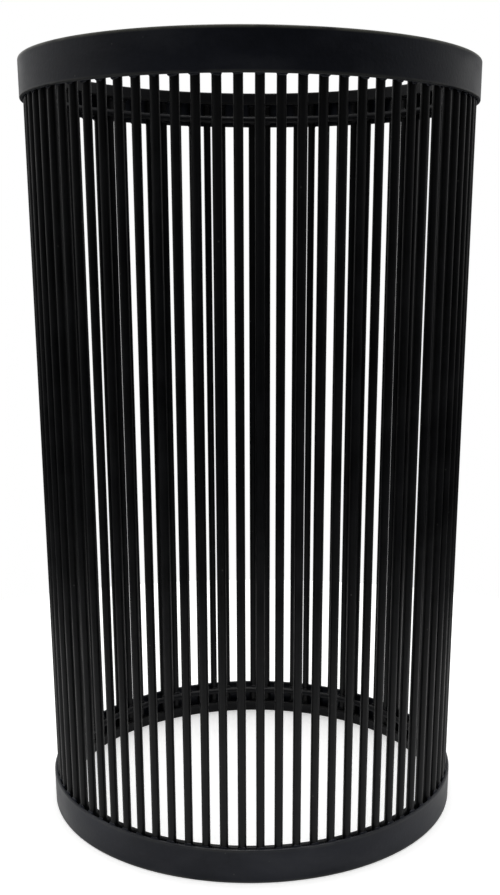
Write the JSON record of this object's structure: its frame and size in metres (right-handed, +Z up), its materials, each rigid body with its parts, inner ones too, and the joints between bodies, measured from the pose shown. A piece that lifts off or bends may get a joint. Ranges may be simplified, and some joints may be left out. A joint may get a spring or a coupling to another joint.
{
  "type": "umbrella stand",
  "caption": "Open cylindrical umbrella stand of upright round rods between flat outer bands, with hoops inside, coated satin black.",
  "frame": {"origin": "centre of the circle that the stand rests on, at the bottom of its bounding box", "axes": "+Z up along the axis of the cylinder, from the floor to the open top; -Y is the front; the stand is round, so X and Y are otherwise free"},
  "size_m": [0.25, 0.25, 0.428],
  "materials": {
    "band_coat": "satin black powder coat",
    "hoop_coat": "satin black powder coat",
    "rod_coat": "satin black powder coat"
  },
  "bodies": {
    "root": {"top_band": "band_coat", "top_end_hoop": "hoop_coat", "top_wire_hoop": "hoop_coat", "bottom_band": "band_coat", "bottom_end_hoop": "hoop_coat", "bottom_wire_hoop": "hoop_coat", "rods_01": "rod_coat", "rods_02": "rod_coat", "rods_03": "rod_coat", "rods_04": "rod_coat", "rods_05": "rod_coat", "rods_06": "rod_coat", "rods_07": "rod_coat", "rods_08": "rod_coat", "rods_09": "rod_coat", "rods_10": "rod_coat", "rods_11": "rod_coat", "rods_12": "rod_coat", "rods_13": "rod_coat", "rods_14": "rod_coat", "rods_15": "rod_coat", "rods_16": "rod_coat", "rods_17": "rod_coat", "rods_18": "rod_coat", "rods_19": "rod_coat", "rods_20": "rod_coat", "rods_21": "rod_coat", "rods_22": "rod_coat", "rods_23": "rod_coat", "rods_24": "rod_coat", "rods_25": "rod_coat", "rods_26": "rod_coat", "rods_27": "rod_coat", "rods_28": "rod_coat", "rods_29": "rod_coat", "rods_30": "rod_coat", "rods_31": "rod_coat", "rods_32": "rod_coat", "rods_33": "rod_coat", "rods_34": "rod_coat", "rods_35": "rod_coat", "rods_36": "rod_coat", "rods_37": "rod_coat", "rods_38": "rod_coat", "rods_39": "rod_coat"}
  },
  "joints": []
}
